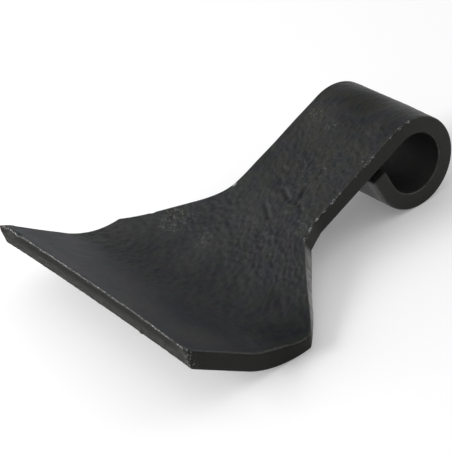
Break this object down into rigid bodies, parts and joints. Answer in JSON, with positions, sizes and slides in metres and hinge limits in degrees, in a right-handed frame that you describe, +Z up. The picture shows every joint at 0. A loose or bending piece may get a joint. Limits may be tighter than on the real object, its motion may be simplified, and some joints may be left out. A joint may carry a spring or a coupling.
{
  "type": "mulcher hammer blade",
  "caption": "Hammer blade for a mulcher rotor: bent flat steel with a rolled eye for the pin, a straight stem and a wide upturned scoop ground to a cutting edge.",
  "frame": {"origin": "centre of the eye, on the bore's axis and half way along it", "axes": "+Y along the bore; +X level, from the eye towards the cutting edge; +Z up, with the piece lying at rest on a level floor, concave side up"},
  "size_m": [0.1627, 0.13, 0.04],
  "materials": {
    "painted_steel": "black satin paint over hot-worked steel, worn to bright steel along the cutting edge"
  },
  "bodies": {
    "root": {"hammer_blade": "painted_steel"}
  },
  "joints": []
}
